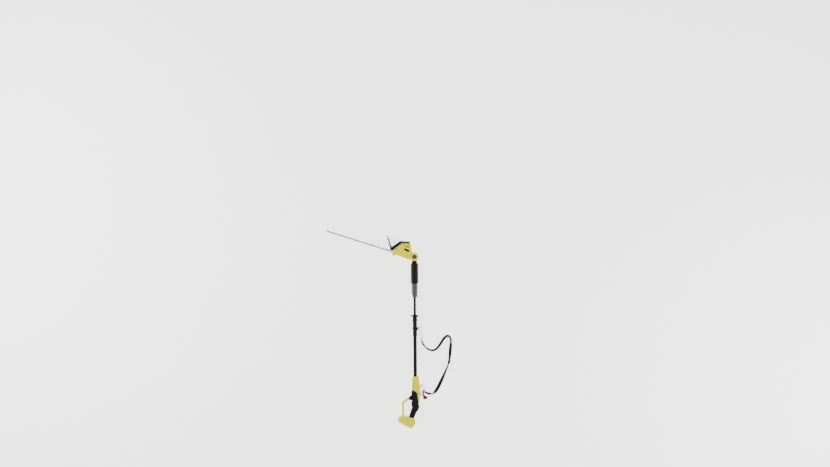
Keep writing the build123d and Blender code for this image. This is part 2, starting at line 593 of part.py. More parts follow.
plate_root, plate_tip = Vector(12, 190), Vector(90, 243)
plate_dir = (plate_tip - plate_root).normalized()
plate_side = Vector(-plate_dir.Y, plate_dir.X)
with BuildPart() as deflector_plate:
    plate_corners = [plate_root + plate_side * 5.5, plate_tip + plate_side * 3.6,
                     plate_tip - plate_side * 3.6, plate_root - plate_side * 5.5]
    extrude(outline(head_plane, [(corner.X, corner.Y) for corner in plate_corners], 2.4),
            amount=half_width, both=True)
    # the plate's top corners are cut back, seen square to the plate
    plate_face = Plane(origin=head_plane.from_local_coords(Vector(plate_root.X, plate_root.Y, 0)),
                       x_dir=(0, 0, 1),
                       z_dir=head_plane.from_local_coords(Vector(plate_side.X, plate_side.Y, 0))
                       - head_plane.origin)
    plate_length = (plate_tip - plate_root).length
    for side in (-1, 1):
        corner_cut = outline(plate_face, [(side * 41, plate_length - 30), (side * 41, plate_length + 6),
                                          (side * 14, plate_length + 6), (side * 30, plate_length - 6)])
        extrude(corner_cut, amount=12.0, both=True, mode=Mode.SUBTRACT)
    extrude(guard_outline, amount=half_width, both=True, mode=Mode.SUBTRACT)
save(deflector_plate, "deflector_plate")

# =====================================================================
# Drive: motor across the head, pinion, gear with two eccentrics.
# =====================================================================
gear_n, gear_thick = -5.0, 6.0
motor_n, motor_length, motor_d = 6.0, 54.0, 44.0
bar_n, bar_thick, bar_width = -18.6, 3.0, 24.0
lower_blade_n, upper_blade_n = -15.3, -12.8
gear_shaft_d, motor_shaft_d = 8.0, 5.0
eccentric_d, eccentric_throw = 14.0, 4.5
eye_bore, eye_od = 34.0, 44.0


def across(n, diameter, bore=0.0, u=0.0, z=0.0):
    """Round section square to n, centred u along the blade and z across it."""
    return disc(blade_plane(n), diameter, bore, at=(-z, u))


def toothed(plane, centre_u, teeth, bore, start_angle):
    """Spur gear section: straight-sided teeth with room for backlash."""
    pitch_r = module_mm * teeth / 2
    tip_r, root_r = pitch_r + 0.85 * module_mm, pitch_r - 1.25 * module_mm
    corners = []
    for tooth in range(teeth):
        middle = start_angle + 360 / teeth * tooth
        for share, radius in ((-0.27, root_r), (-0.12, tip_r), (0.12, tip_r), (0.27, root_r)):
            angle = radians(middle + share * 360 / teeth)
            corners.append((radius * cos(angle), centre_u + radius * sin(angle)))
    with BuildSketch(plane) as section:
        with BuildLine():
            Polyline(*corners, close=True)
        make_face()
        with Locations((0, centre_u)):
            Circle(bore / 2, mode=Mode.SUBTRACT)
    return section.sketch


with BuildPart() as gearbox_plate:
    plate_points = [(-28, 62), (28, 62), (28, 140), (20, 150), (-20, 150), (-28, 140)]
    extrude(outline(blade_plane(2.2), plate_points, 4.0), amount=3.0)
    extrude(across(0.0, 12.0, u=motor_u), amount=10.0, mode=Mode.SUBTRACT)
    extrude(across(0.0, gear_shaft_d, u=gear_u), amount=10.0, mode=Mode.SUBTRACT)
save(gearbox_plate, "gearbox_plate")

with BuildPart() as gearbox_base:
    extrude(outline(blade_plane(-21.6), [(-26, 104), (26, 104), (20, 158), (-20, 158)], 3.0), amount=3.0)
    extrude(across(-30.0, gear_shaft_d, u=gear_u), amount=20.0, mode=Mode.SUBTRACT)
save(gearbox_base, "gearbox_base")

with BuildPart() as gear_pin:
    extrude(across(-21.6, gear_shaft_d, u=gear_u), amount=26.8)
save(gear_pin, "gear_pin")

with BuildPart() as motor_can:
    extrude(across(motor_n, motor_d, u=motor_u), amount=motor_length)
    extrude(across(motor_n + 2.0, motor_d - 4, u=motor_u), amount=motor_length - 4, mode=Mode.SUBTRACT)
    extrude(across(motor_n - 1, motor_shaft_d + 2 * running_fit, u=motor_u), amount=motor_length + 2,
            mode=Mode.SUBTRACT)
    extrude(across(motor_n - 0.8, 11.8, 8.0, u=motor_u), amount=0.8)
save(motor_can, "motor_can")

with BuildPart() as rotor:
    extrude(across(gear_n - 0.5, motor_shaft_d, u=motor_u), amount=motor_length + 12)
    extrude(across(motor_n + 6, 34.0, u=motor_u), amount=motor_length - 14)
    extrude(toothed(blade_plane(gear_n), motor_u, pinion_teeth, 1.0, 90 + 180 / pinion_teeth),
            amount=gear_thick)
save(rotor, "rotor")

gear_bore = gear_shaft_d + 2 * running_fit
with BuildPart() as drive_gear:
    extrude(toothed(blade_plane(gear_n), gear_u, gear_teeth, gear_bore, -90), amount=gear_thick)
    extrude(across(upper_blade_n - 0.1, eccentric_d, u=gear_u + eccentric_throw), amount=blade_thick + 0.2)
    extrude(across(lower_blade_n - 0.1, eccentric_d, u=gear_u - eccentric_throw), amount=blade_thick + 0.2)
    extrude(across(lower_blade_n - 0.1, 12.0, u=gear_u), amount=gear_n - lower_blade_n + 0.1)
    extrude(across(lower_blade_n - 1, gear_bore, u=gear_u), amount=20.0, mode=Mode.SUBTRACT)
save(drive_gear, "drive_gear")

# =====================================================================
# Guide bar and the two blades that slide on it.
# =====================================================================
bolt_us = (215.0, 335.0, 455.0, 575.0, 672.0)
guide_bolt_d = 5.0
first_tooth, last_tooth = 232.0, blade_tip - 15
tooth_count = int((last_tooth - first_tooth) / tooth_pitch) + 1

with BuildPart() as guide_bar:
    bar_points = [(-bar_width / 2, 146), (bar_width / 2, 146), (bar_width / 2, blade_tip - 14),
                  (7, blade_tip - 3), (-7, blade_tip - 3), (-bar_width / 2, blade_tip - 14)]
    extrude(outline(blade_plane(bar_n), bar_points, 2.0), amount=bar_thick)
    for u in bolt_us:
        extrude(across(bar_n - 1, guide_bolt_d, u=u), amount=10.0, mode=Mode.SUBTRACT)
save(guide_bar, "guide_bar")


def blade_section(plane):
    """A double-sided cutting blade: bar, tapered teeth, drive eye and guide slots."""
    half_bar = bar_width / 2 - 1
    right_edge = [(half_bar, 160.0)]
    for tooth in range(tooth_count):
        middle = first_tooth + tooth * tooth_pitch
        right_edge += [(half_bar, middle - 8.5), (tooth_reach, middle - 2.6),
                       (tooth_reach, middle + 2.6), (half_bar, middle + 8.5)]
    right_edge += [(half_bar, blade_tip - 8), (6, blade_tip)]
    left_edge = [(-x, y) for x, y in reversed(right_edge)]
    with BuildSketch(plane) as section:
        with BuildLine():
            Polyline(*right_edge, *left_edge, close=True)
        make_face()
        with Locations((0, 152)):
            Rectangle(16, 30)
        with Locations((0, gear_u)):
            Circle(eye_od / 2)
            Circle(eye_bore / 2, mode=Mode.SUBTRACT)
        with Locations(*[(0, u) for u in bolt_us]):
            SlotOverall(guide_bolt_d + 2 * stroke + 2.5, guide_bolt_d + 0.8, rotation=90,
                        mode=Mode.SUBTRACT)
    return section.sketch


with BuildPart() as lower_blade:
    extrude(blade_section(blade_plane(lower_blade_n)), amount=blade_thick)
save(lower_blade, "lower_blade")

with BuildPart() as upper_blade:
    extrude(blade_section(blade_plane(upper_blade_n)), amount=blade_thick)
save(upper_blade, "upper_blade")

with BuildPart() as blade_bolts:
    for u in bolt_us:
        extrude(across(bar_n - 2.8, 9.0, u=u), amount=2.8)
        extrude(across(bar_n, guide_bolt_d, u=u), amount=upper_blade_n + blade_thick + 0.3 - bar_n)
        extrude(across(upper_blade_n + blade_thick + 0.3, 10.0, u=u), amount=2.6)
save(blade_bolts, "blade_bolts")

# =====================================================================
# Strap eyelets: an upright ring on the front grip, another on the handle.
# =====================================================================
eyelet_bore, eyelet_od, eyelet_thick = 10.0, 17.0, 4.0


def eyelet_plane(x, y, run):
    """Upright plane through an eyelet's middle, square to the bar that runs through it."""
    run_length = hypot(*run)
    run_dir = (run[0] / run_length, run[1] / run_length, 0)
    return Plane(origin=side_plane.from_local_coords(Vector(x, y, 0)), x_dir=(0, 0, 1), z_dir=run_dir)


upper_eyelet_at, lower_eyelet_at = (31.0, 751.0), (41.5, 312.0)
upper_run, lower_run = (-0.11, 0.99), (-0.355, 0.935)
with BuildPart() as front_eyelet:
    band_plane = pole_plane(upper_eyelet_at[1] - 6)
    extrude(disc(band_plane, sleeve_od + 5.0), amount=12.0)
    arm = outline(side_plane, [(16, 728), (19, 733), (25.4, 747), (25.4, 755), (16, 758)], 1.0)
    extrude(arm, amount=4.0, both=True)
    ring_plane = eyelet_plane(*upper_eyelet_at, upper_run).offset(-eyelet_thick / 2)
    extrude(disc(ring_plane, eyelet_od), amount=eyelet_thick)
    extrude(disc(ring_plane.offset(-5), eyelet_bore), amount=14.0, mode=Mode.SUBTRACT)
    extrude(disc(pole_plane(700), sleeve_od), amount=90.0, mode=Mode.SUBTRACT)
save(front_eyelet, "front_eyelet")

with BuildPart() as handle_eyelet:
    ring_plane = eyelet_plane(*lower_eyelet_at, lower_run).offset(-eyelet_thick / 2)
    extrude(disc(ring_plane, eyelet_od), amount=eyelet_thick)
    tab = outline(side_plane, [(30, 304), (35.6, 304), (36.6, 312), (34, 317), (29, 322)], 0.8)
    extrude(tab, amount=6.0, both=True)
    extrude(disc(ring_plane.offset(-5), eyelet_bore), amount=14.0, mode=Mode.SUBTRACT)
    extrude(body_outline, amount=body_half, both=True, mode=Mode.SUBTRACT)
save(handle_eyelet, "handle_eyelet")

# =====================================================================
# Carrying strap: webbing on edge between two carabiners, with its buckles.
# =====================================================================
strap_route = [(51, 651), (71, 611), (97, 587), (129, 576), (162, 587), (193, 628), (219, 671),
               (247, 693), (269, 676), (273, 641), (267, 584), (262, 528), (258, 494), (244, 454),
               (223, 407), (196, 346), (171, 294), (146, 258), (120, 247), (93, 251), (71, 264)]


def bend_radii(route):
    """Radius of each corner: 0.45 of the shorter run over the tangent of half the turn."""
    radii = []
    for before, corner, after in zip(route, route[1:], route[2:]):
        run_in, run_out = Vector(corner) - Vector(before), Vector(after) - Vector(corner)
        half_turn = radians(run_in.get_angle(run_out) / 2)
        radii.append(0.45 * min(run_in.length, run_out.length) / tan(half_turn))
    return radii


strap_radii = bend_radii(strap_route)
print("strap bend radii:", [round(radius) for radius in strap_radii])
strap_floor = Plane(origin=(pole_x, butt_y, webbing_low))
with BuildSketch(strap_floor) as strap_section:
    with BuildLine() as strap_line:
        FilletPolyline(*strap_route, radius=strap_radii)
    trace(line_width=webbing_thick)
with BuildPart() as strap_webbing:
    extrude(strap_section.sketch, amount=webbing_width)
strap_length = strap_line.wires()[0].length
print("strap length:", round(strap_length), "volume over section times length:",
      round(strap_webbing.part.volume / (strap_length * webbing_width * webbing_thick), 3))
save(strap_webbing, "strap_webbing")


def route_plane(index, share):
    """Upright plane across the strap's run after one route point, facing along the run."""
    start, end = Vector(strap_route[index]), Vector(strap_route[index + 1])
    place = strap_floor.from_local_coords(start + (end - start) * share)
    run = (end - start).normalized()
    return Plane(origin=place + Vector(0, 0, webbing_width / 2), x_dir=(0, 0, 1), z_dir=(run.X, run.Y, 0))


with BuildPart() as strap_slider:
    slider_plane = route_plane(12, 0.46).offset(-9.0)
    with BuildSketch(slider_plane) as slider_section:
        RectangleRounded(webbing_width + 6, 9.0, 2.5)
        Rectangle(webbing_width + 1.6, webbing_thick + 1.6, mode=Mode.SUBTRACT)
    extrude(slider_section.sketch, amount=18.0)
    with BuildSketch(slider_plane.offset(6.5)) as slider_window:
        with Locations((0, 3.5), (0, -3.5)):
            Rectangle(webbing_width - 3, 4.0)
    extrude(slider_window.sketch, amount=5.0, mode=Mode.SUBTRACT)
save(strap_slider, "strap_slider")


def strap_ring_plane(at_start):
    """Outward-facing plane on the strap's end."""
    end_plane = route_plane(0, 0.0) if at_start else route_plane(len(strap_route) - 2, 1.0)
    facing = -end_plane.z_dir if at_start else end_plane.z_dir
    return Plane(origin=end_plane.origin, x_dir=(0, 0, 1), z_dir=facing)


ring_thick, stem_length = 4.0, 15.0


def carabiner_plane(ring_plane, eyelet_at, run):
    """Plane of a carabiner: y runs from its strap ring to the hook, rising to the eyelet."""
    base = ring_plane.origin + ring_plane.z_dir * ring_thick
    across_run = Vector(run[1], -run[0], 0).normalized()
    eyelet = side_plane.from_local_coords(Vector(*eyelet_at, 0))
    rise_end = eyelet + across_run * carabiner_half
    along = (rise_end - base).normalized()
    return Plane(origin=base, x_dir=across_run, z_dir=across_run.cross(along)), (rise_end - base).length


def carabiner(ring_plane, eyelet_at, run):
    """Hook, swivel stem and strap ring in one piece, without the gate."""
    hook_plane, eyelet_distance = carabiner_plane(ring_plane, eyelet_at, run)
    top = eyelet_distance + 15.0
    gate_gap = top - 13.0
    with BuildLine(hook_plane) as hook_line:
        FilletPolyline((carabiner_half, gate_gap), (carabiner_half, top), (-carabiner_half, top),
                       (-carabiner_half, stem_length + 2), (carabiner_half, stem_length + 2),
                       (carabiner_half, stem_length + 13), radius=carabiner_half - 0.5)
    with BuildSketch(Plane(origin=hook_line.line @ 0, z_dir=hook_line.line % 0)) as bar_section:
        Circle(carabiner_bar / 2)
    stem_plane = Plane(origin=hook_plane.origin, z_dir=hook_plane.y_dir)
    with BuildPart() as hook:
        sweep(bar_section.sketch, path=hook_line.line)
        extrude(disc(stem_plane, 7.0), amount=stem_length + 2)
        with BuildSketch(ring_plane) as ring_section:
            RectangleRounded(webbing_width + 6, 12.0, 3.0)
        extrude(ring_section.sketch, amount=ring_thick + 1)
    return hook, hook_plane, top


gate_pin_half = 3.4  # half length of the rivet that the gate turns on


def carabiner_gate(hook_plane, top):
    """Straight sprung gate that closes the hook."""
    gate_start, gate_end = stem_length + 14.2, top - 13.6
    gate_base = Plane(origin=hook_plane.from_local_coords(Vector(carabiner_half, gate_start, 0)),
                      z_dir=hook_plane.y_dir)
    with BuildPart() as gate:
        extrude(disc(gate_base, carabiner_bar - 0.4), amount=gate_end - gate_start)
        extrude(disc(gate_base.offset(1.0), carabiner_bar + 0.6), amount=4.0)
        pin_foot = hook_plane.from_local_coords(Vector(carabiner_half, gate_start + 1.3, -gate_pin_half))
        extrude(disc(Plane(origin=pin_foot, z_dir=hook_plane.z_dir), 2.4), amount=2 * gate_pin_half)
    return gate


ends = {"upper": (True, upper_eyelet_at, upper_run), "lower": (False, lower_eyelet_at, lower_run)}
for end, (at_start, eyelet_at, run) in ends.items():
    hook, hook_plane, hook_top = carabiner(strap_ring_plane(at_start), eyelet_at, run)
    save(hook, f"{end}_carabiner")
    gate = carabiner_gate(hook_plane, hook_top)
    save(gate, f"{end}_carabiner_gate")
    hinge = hook_plane.from_local_coords(Vector(carabiner_half, stem_length + 15.5, 0))
    print(end, "gate hinge", hinge, "axis", hook_plane.z_dir)

# Quick release: a red pull tab on a loop round the lower stem, with its black link beside it.
lower_hook_plane, _ = carabiner_plane(strap_ring_plane(False), lower_eyelet_at, lower_run)
loop_plane = Plane(origin=lower_hook_plane.origin, z_dir=lower_hook_plane.y_dir).offset(9.6)
tab_floor = Plane(origin=(pole_x, butt_y, 2.0))
with BuildPart() as quick_release:
    tab_points = [(50, 262), (55, 274), (62, 279), (62.6, 262), (70, 237), (91, 227), (88, 209), (59, 209),
                  (57, 228), (58, 236)]
    extrude(outline(tab_floor, tab_points, 1.4), amount=10.4)
    chamfer(quick_release.faces().sort_by(Axis.Z)[-1].edges(), 0.8)
    extrude(disc(loop_plane, 17.6), amount=3.5)
    extrude(disc(loop_plane.offset(-10), 8.6), amount=24.0, mode=Mode.SUBTRACT)
    link_points = [(33, 251), (38, 256), (56, 238), (52, 230)]
    extrude(outline(tab_floor.offset(0.5), link_points, 1.6), amount=6.0)
    extrude(disc(tab_floor.offset(-4), 3.4, at=(37.6, 251.4)), amount=14.0, mode=Mode.SUBTRACT)
save(quick_release, "quick_release")
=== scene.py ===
"""Battery pole hedge trimmer lying on its side on a pale floor, seen from above."""
import math

import bpy
import numpy as np
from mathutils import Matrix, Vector


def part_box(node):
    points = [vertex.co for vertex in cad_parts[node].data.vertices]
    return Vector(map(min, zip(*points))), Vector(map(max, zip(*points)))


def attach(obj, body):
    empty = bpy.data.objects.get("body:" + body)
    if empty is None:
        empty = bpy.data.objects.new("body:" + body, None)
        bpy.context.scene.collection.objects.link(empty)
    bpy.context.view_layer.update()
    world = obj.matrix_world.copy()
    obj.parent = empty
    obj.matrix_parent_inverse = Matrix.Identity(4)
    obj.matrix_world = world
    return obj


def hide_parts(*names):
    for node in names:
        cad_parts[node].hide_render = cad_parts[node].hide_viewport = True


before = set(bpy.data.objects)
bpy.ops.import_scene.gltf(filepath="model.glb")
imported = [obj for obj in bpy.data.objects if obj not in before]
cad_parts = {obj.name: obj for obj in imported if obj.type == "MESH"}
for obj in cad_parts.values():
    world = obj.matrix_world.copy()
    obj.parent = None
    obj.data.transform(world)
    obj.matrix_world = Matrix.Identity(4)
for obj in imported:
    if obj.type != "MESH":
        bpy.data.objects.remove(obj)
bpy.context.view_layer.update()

# =====================================================================
# Camera: it looks straight down from 9 m above the pole's axis.
# It is turned a little, so the pole leans to the left of upright.
# =====================================================================
tube_low, tube_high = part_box("lower_tube")
pole_x = (tube_low[0] + tube_high[0]) / 2
pole_z = (tube_low[2] + tube_high[2]) / 2
butt_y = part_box("battery_bay")[0][1]
view_width, camera_height = 6.266, 9.0
camera_aside, camera_ahead = 0.006, 1.464  # from the pole's axis and from the butt end
camera_turn = -0.44
camera_data = bpy.data.cameras.new("camera")
camera_data.lens = camera_data.sensor_width * camera_height / view_width
camera = bpy.data.objects.new("camera", camera_data)
camera.location = (pole_x + camera_aside, butt_y + camera_ahead, pole_z + camera_height)
camera.rotation_euler = (0.0, 0.0, math.radians(camera_turn))
bpy.context.scene.collection.objects.link(camera)
bpy.context.scene.camera = camera

# =====================================================================
# Carrying strap: black polyester webbing, woven 25 mm wide and 2 mm thick.
# It rolls between standing on edge and lying flat as it goes round its curves.
# Each end goes through its carabiner's ring and back, and is sewn down.
# =====================================================================
strap_width, strap_thick = 0.025, 0.002
strap_middle_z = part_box("strap_webbing")[0][2] + strap_width / 2
# the same route as the part's, in millimetres from the pole's axis and the butt end
strap_route = np.array([(51, 651), (71, 611), (97, 587), (129, 576), (162, 587), (193, 628), (219, 671),
                        (247, 693), (269, 676), (273, 641), (267, 584), (262, 528), (258, 494), (244, 454),
                        (223, 407), (196, 346), (171, 294), (146, 258), (120, 247), (93, 251), (71, 264)])
tube_start = 0.235  # the lower tube begins this far from the butt end
strap_points = np.column_stack([pole_x + strap_route[:, 0] / 1000,
                                tube_low[1] - tube_start + strap_route[:, 1] / 1000,
                                np.full(len(strap_route), strap_middle_z)])


def smooth_line(name, points):
    """Points read from a quadratic NURBS spline with these control points, as an array."""
    curve = bpy.data.curves.new(name, "CURVE")
    curve.dimensions = "3D"
    curve.resolution_u = 14
    spline = curve.splines.new("NURBS")
    spline.points.add(len(points) - 1)
    spline.points.foreach_set("co", np.column_stack([points, np.ones(len(points))]).ravel())
    spline.order_u = 3
    spline.use_endpoint_u = True
    holder = bpy.data.objects.new(name, curve)
    bpy.context.scene.collection.objects.link(holder)
    mesh = bpy.data.meshes.new_from_object(holder)
    line = np.empty(len(mesh.vertices) * 3)
    mesh.vertices.foreach_get("co", line)
    bpy.data.objects.remove(holder)
    bpy.data.meshes.remove(mesh)
    return line.reshape(-1, 3)


def smooth_step(value):
    """0 to 1 with level ends: three squares less two cubes."""
    value = np.clip(value, 0, 1)
    return value * value * (3 - 2 * value)


route_line = smooth_line("strap_line", strap_points)
route_steps = np.linalg.norm(np.diff(route_line, axis=0), axis=1)
route_distance = np.concatenate([[0], np.cumsum(route_steps)])
strap_length = float(route_distance[-1])
even = np.linspace(0, strap_length, 620)
strap_line = np.column_stack([np.interp(even, route_distance, route_line[:, axis]) for axis in range(3)])

# twist: the width in millimetres that shows from above at each distance, 0 on edge to 25 flat
shown_width = np.array([(0.0, 8.0), (0.06, 8.5), (0.13, 14.0), (0.19, 17.0), (0.24, 18.0), (0.30, 13.5),
                        (0.34, 15.0), (0.38, 24.0), (0.43, 22.0), (0.47, 17.0), (0.495, 14.0),
                        (0.52, 11.0), (0.57, 17.0), (0.63, 23.0), (0.67, 24.95), (0.738, 24.95),
                        (0.766, 7.0), (0.785, 18.0), (0.84, 12.0)])
lean = np.arcsin(np.interp(even, shown_width[:, 0], shown_width[:, 1]) / 1000 / strap_width)
smoothing = np.hanning(25)
lean = np.convolve(np.pad(lean, 12, mode="edge"), smoothing / smoothing.sum(), mode="valid")
tangent = np.gradient(strap_line, axis=0)
tangent /= np.linalg.norm(tangent, axis=1)[:, None]
sideways = np.column_stack([tangent[:, 1], -tangent[:, 0], np.zeros(len(even))])
upright = np.array([0.0, 0.0, 1.0])
width_dir = np.cos(lean)[:, None] * upright + np.sin(lean)[:, None] * sideways
thick_dir = np.cross(tangent, width_dir)

# rest: the lower selvedge lies just over the floor, the slider lifts it, and the rings hold the ends
slider_at, slider_lift, slider_reach = 0.488, 0.0032, 0.03
floor_gap, held_reach = 0.0016, 0.06
held_end = smooth_step(even / held_reach) * smooth_step((strap_length - even) / held_reach)
rest_z = (np.abs(np.cos(lean)) * strap_width / 2 + floor_gap
          + slider_lift * np.exp(-((even - slider_at) / slider_reach) ** 2))
strap_line[:, 2] = strap_line[:, 2] * (1 - held_end) + rest_z * held_end

# section: a flat band whose faces thin towards rounded selvedges, as points round its edge
across = np.cos(np.linspace(0, math.pi, 14))
edge_round = np.minimum(1, (1 - np.abs(across)) / 0.06) ** 0.5
upper_face = np.column_stack([across * strap_width / 2, 0.35 + 0.65 * edge_round])
section = np.vstack([upper_face, np.column_stack([upper_face[::-1, 0], -upper_face[::-1, 1]])])
section[:, 1] *= strap_thick / 2


# materials: one function turns sRGB hex to linear, and one adds a node
def linear(hex_colour):
    """sRGB hex, such as "e6d22a", to linear RGBA: each channel by the sRGB curve."""
    channels = [int(hex_colour[i:i + 2], 16) / 255 for i in (0, 2, 4)]
    return [c / 12.92 if c <= 0.04045 else ((c + 0.055) / 1.055) ** 2.4 for c in channels] + [1.0]


def add_node(material, kind, settings=None, **links):
    """One node of a kind, with settings by socket or attribute name, and links into its sockets."""
    tree = material.node_tree
    node = tree.nodes.new(kind)
    for name, value in (settings or {}).items():
        if name in node.inputs:
            node.inputs[name].default_value = value
        else:
            setattr(node, name, value)
    for name, source in links.items():
        tree.links.new(source, node.inputs[name.replace("_", " ")])
    return node


def new_material(name, colour, roughness, metallic=0.0, **shader):
    """A material and its shader, with the shader's constant sockets set."""
    material = bpy.data.materials.new(name)
    material.use_nodes = True
    principled = material.node_tree.nodes["Principled BSDF"]
    constants = {"Base_Color": linear(colour), "Roughness": roughness, "Metallic": metallic, **shader}
    for socket, value in constants.items():
        principled.inputs[socket.replace("_", " ")].default_value = value
    return material, principled


def colour_between(node, low, high):
    """Set a two-stop colour ramp: each stop is a position and an sRGB hex."""
    for stop, (position, colour) in zip(node.color_ramp.elements, (low, high)):
        stop.position = position
        stop.color = linear(colour)


# polyester webbing: dull black, with ribs across it and a finer warp along it
# a wave texture has twenty radians to the metre at scale 1, so these scales draw
# the ribs 3.16 mm apart and the warp 2.37 mm apart
rib_scale, warp_scale = 1000.0 / 1.6 / 6.283, 1000.0 / 1.2 / 6.283
webbing, webbing_shader = new_material("polyester webbing", "0a0a0b", 0.9, Specular_IOR_Level=0.25)
weave_uv = add_node(webbing, "ShaderNodeUVMap", {"uv_map": "weave"}).outputs["UV"]
ribs = add_node(webbing, "ShaderNodeTexWave", {"Scale": rib_scale, "bands_direction": "X"},
                Vector=weave_uv)
warp = add_node(webbing, "ShaderNodeTexWave",
                {"Scale": warp_scale, "bands_direction": "Y", "Distortion": 0.6}, Vector=weave_uv)
crossed = add_node(webbing, "ShaderNodeMath", {"operation": "ADD"})
weave_bump = add_node(webbing, "ShaderNodeBump", {"Strength": 0.8, "Distance": 0.0004},
                      Height=crossed.outputs["Value"])
weave_tone = add_node(webbing, "ShaderNodeValToRGB", Fac=ribs.outputs["Fac"])
colour_between(weave_tone, (0.0, "050506"), (1.0, "101012"))
for output, socket in ((ribs.outputs["Fac"], crossed.inputs[0]), (warp.outputs["Fac"], crossed.inputs[1]),
                       (weave_bump.outputs["Normal"], webbing_shader.inputs["Normal"]),
                       (weave_tone.outputs["Color"], webbing_shader.inputs["Base Color"])):
    webbing.node_tree.links.new(output, socket)


def solid_mesh(name, points, faces, smooth=True):
    """A mesh of these points and faces, shaded smooth unless it is told not to be."""
    mesh = bpy.data.meshes.new(name)
    mesh.from_pydata(np.asarray(points).tolist(), [], faces)
    mesh.polygons.foreach_set("use_smooth", np.full(len(mesh.polygons), smooth))
    return mesh


def add_object(name, mesh):
    """The mesh as an object at the origin, linked into the scene."""
    piece = bpy.data.objects.new(name, mesh)
    bpy.context.scene.collection.objects.link(piece)
    return piece


def band_mesh(name, kept, profile, lift):
    """Webbing over the kept stretch: the profile carried along the line, lifted along its thickness.

    Each ring is the line's point plus the profile's two shares of the width and thickness directions.
    """
    line = strap_line[kept] + thick_dir[kept] * lift
    points = (line[:, None, :] + profile[None, :, :1] * width_dir[kept][:, None, :]
              + profile[None, :, 1:] * thick_dir[kept][:, None, :])
    index = np.arange(len(line) * len(profile)).reshape(len(line), len(profile))
    nearer, farther = index[:-1], index[1:]
    quads = np.stack([nearer, np.roll(nearer, -1, 1), np.roll(farther, -1, 1), farther], -1).reshape(-1, 4)
    caps = [index[0][::-1].tolist(), index[-1].tolist()]
    mesh = solid_mesh(name, points.reshape(-1, 3), quads.tolist() + caps)
    # the weave's map, in metres: along the strap, and across it
    corners = np.empty(len(mesh.loops), dtype=np.int32)
    mesh.loops.foreach_get("vertex_index", corners)
    map_u = np.repeat(even[kept], len(profile))[corners]
    map_v = np.tile(section[:, 0], len(line))[corners]
    mesh.uv_layers.new(name="weave").data.foreach_set("uv", np.column_stack([map_u, map_v]).ravel())
    mesh.materials.append(webbing)
    return mesh


strap = add_object("webbing_strap", band_mesh("strap", even >= 0, section, 0.0))
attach(strap, "handle")
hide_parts("strap_webbing")


def on_strap(values, distance):
    """Values kept along the strap, read at other distances."""
    return np.column_stack([np.interp(distance, even, values[:, axis]) for axis in range(3)])


# =====================================================================
# Length slider: one moulded frame round the webbing, with a bar across its middle.
# It is black nylon, 31 mm by 19 mm, and follows the strap's lean where it sits.
# =====================================================================
slider_half_width, slider_half_length, slider_bar = 0.0155, 0.0095, 0.0017
corner_power = 0.35  # a superellipse: the smaller the power, the squarer the frame
frame_rings, bar_sides, bar_reach = 96, 12, 0.0148
slider_middle, slider_wide, slider_along, slider_deep = (
    on_strap(values, [slider_at])[0] for values in (strap_line, width_dir, tangent, thick_dir))


def rounded(wave):
    """A wave squared up: its sign, times its size to the corner power."""
    return np.sign(wave) * np.abs(wave) ** corner_power


# frame: the bar's circle carried round the rounded rectangle, leaning outwards from its middle
frame_turn = np.linspace(0, 2 * math.pi, frame_rings, endpoint=False)
bar_turn = np.linspace(0, 2 * math.pi, bar_sides, endpoint=False)
bar_cos, bar_sin = np.cos(bar_turn) * slider_bar, np.sin(bar_turn) * slider_bar
frame_path = np.column_stack([slider_half_width * rounded(np.cos(frame_turn)),
                              slider_half_length * rounded(np.sin(frame_turn))])
frame_out = frame_path / np.linalg.norm(frame_path, axis=1)[:, None]
frame_flat = frame_path[:, None, :] + frame_out[:, None, :] * bar_cos[None, :, None]
frame_rise = np.broadcast_to(bar_sin, frame_flat.shape[:2])
frame_index = np.arange(frame_rise.size).reshape(frame_rise.shape)
frame_next = np.roll(frame_index, -1, 0)
frame_faces = np.stack([frame_index, frame_next, np.roll(frame_next, -1, 1), np.roll(frame_index, -1, 1)],
                       -1).reshape(-1, 4)

# middle bar: the same circle at two ends
bar_ends, bar_shape = np.array([-bar_reach, bar_reach]), (2, bar_sides)
bar_flat = np.stack([np.broadcast_to(bar_ends[:, None], bar_shape), np.broadcast_to(bar_cos, bar_shape)], -1)
bar_index = frame_index.size + np.arange(2 * bar_sides).reshape(bar_shape)
bar_faces = np.stack([bar_index[0], bar_index[1], np.roll(bar_index[1], -1), np.roll(bar_index[0], -1)], -1)
bar_caps = [bar_index[0].tolist(), bar_index[1][::-1].tolist()]

slider_flat = np.vstack([frame_flat.reshape(-1, 2), bar_flat.reshape(-1, 2)])
slider_rise = np.concatenate([frame_rise.ravel(), np.broadcast_to(bar_sin, bar_shape).ravel()])
slider_points = (slider_middle + slider_flat[:, :1] * slider_wide + slider_flat[:, 1:] * slider_along
                 + slider_rise[:, None] * slider_deep)
slider_mesh = solid_mesh("slider", slider_points, frame_faces.tolist() + bar_faces.tolist() + bar_caps)
slider = add_object("webbing_slider", slider_mesh)
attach(slider, "handle")
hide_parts("strap_slider")

# =====================================================================
# Folded tails: the last 52 mm of the webbing at each end, back from its carabiner's ring.
# Each lies face to face on the strap, where it is sewn down.
# =====================================================================
tail_length, tail_gap = 0.052, 0.0021
tail_section = section * (0.98, 0.95)
for end_name, kept in (("upper", even <= tail_length), ("lower", even >= strap_length - tail_length)):
    tail = add_object(end_name + "_strap_tail", band_mesh(end_name + "_tail", kept, tail_section, tail_gap))
    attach(tail, "handle")

# =====================================================================
# Stitching: bonded nylon thread, a box with a cross sewn through both layers at each end.
# Each stitch is a spindle 2.4 mm long, half sunk in the webbing, with 1 mm to the next.
# =====================================================================
stitch_length, stitch_pitch, stitch_radius = 0.0024, 0.0034, 0.00042
box_near, box_far, box_half = 0.010, 0.046, 0.0095


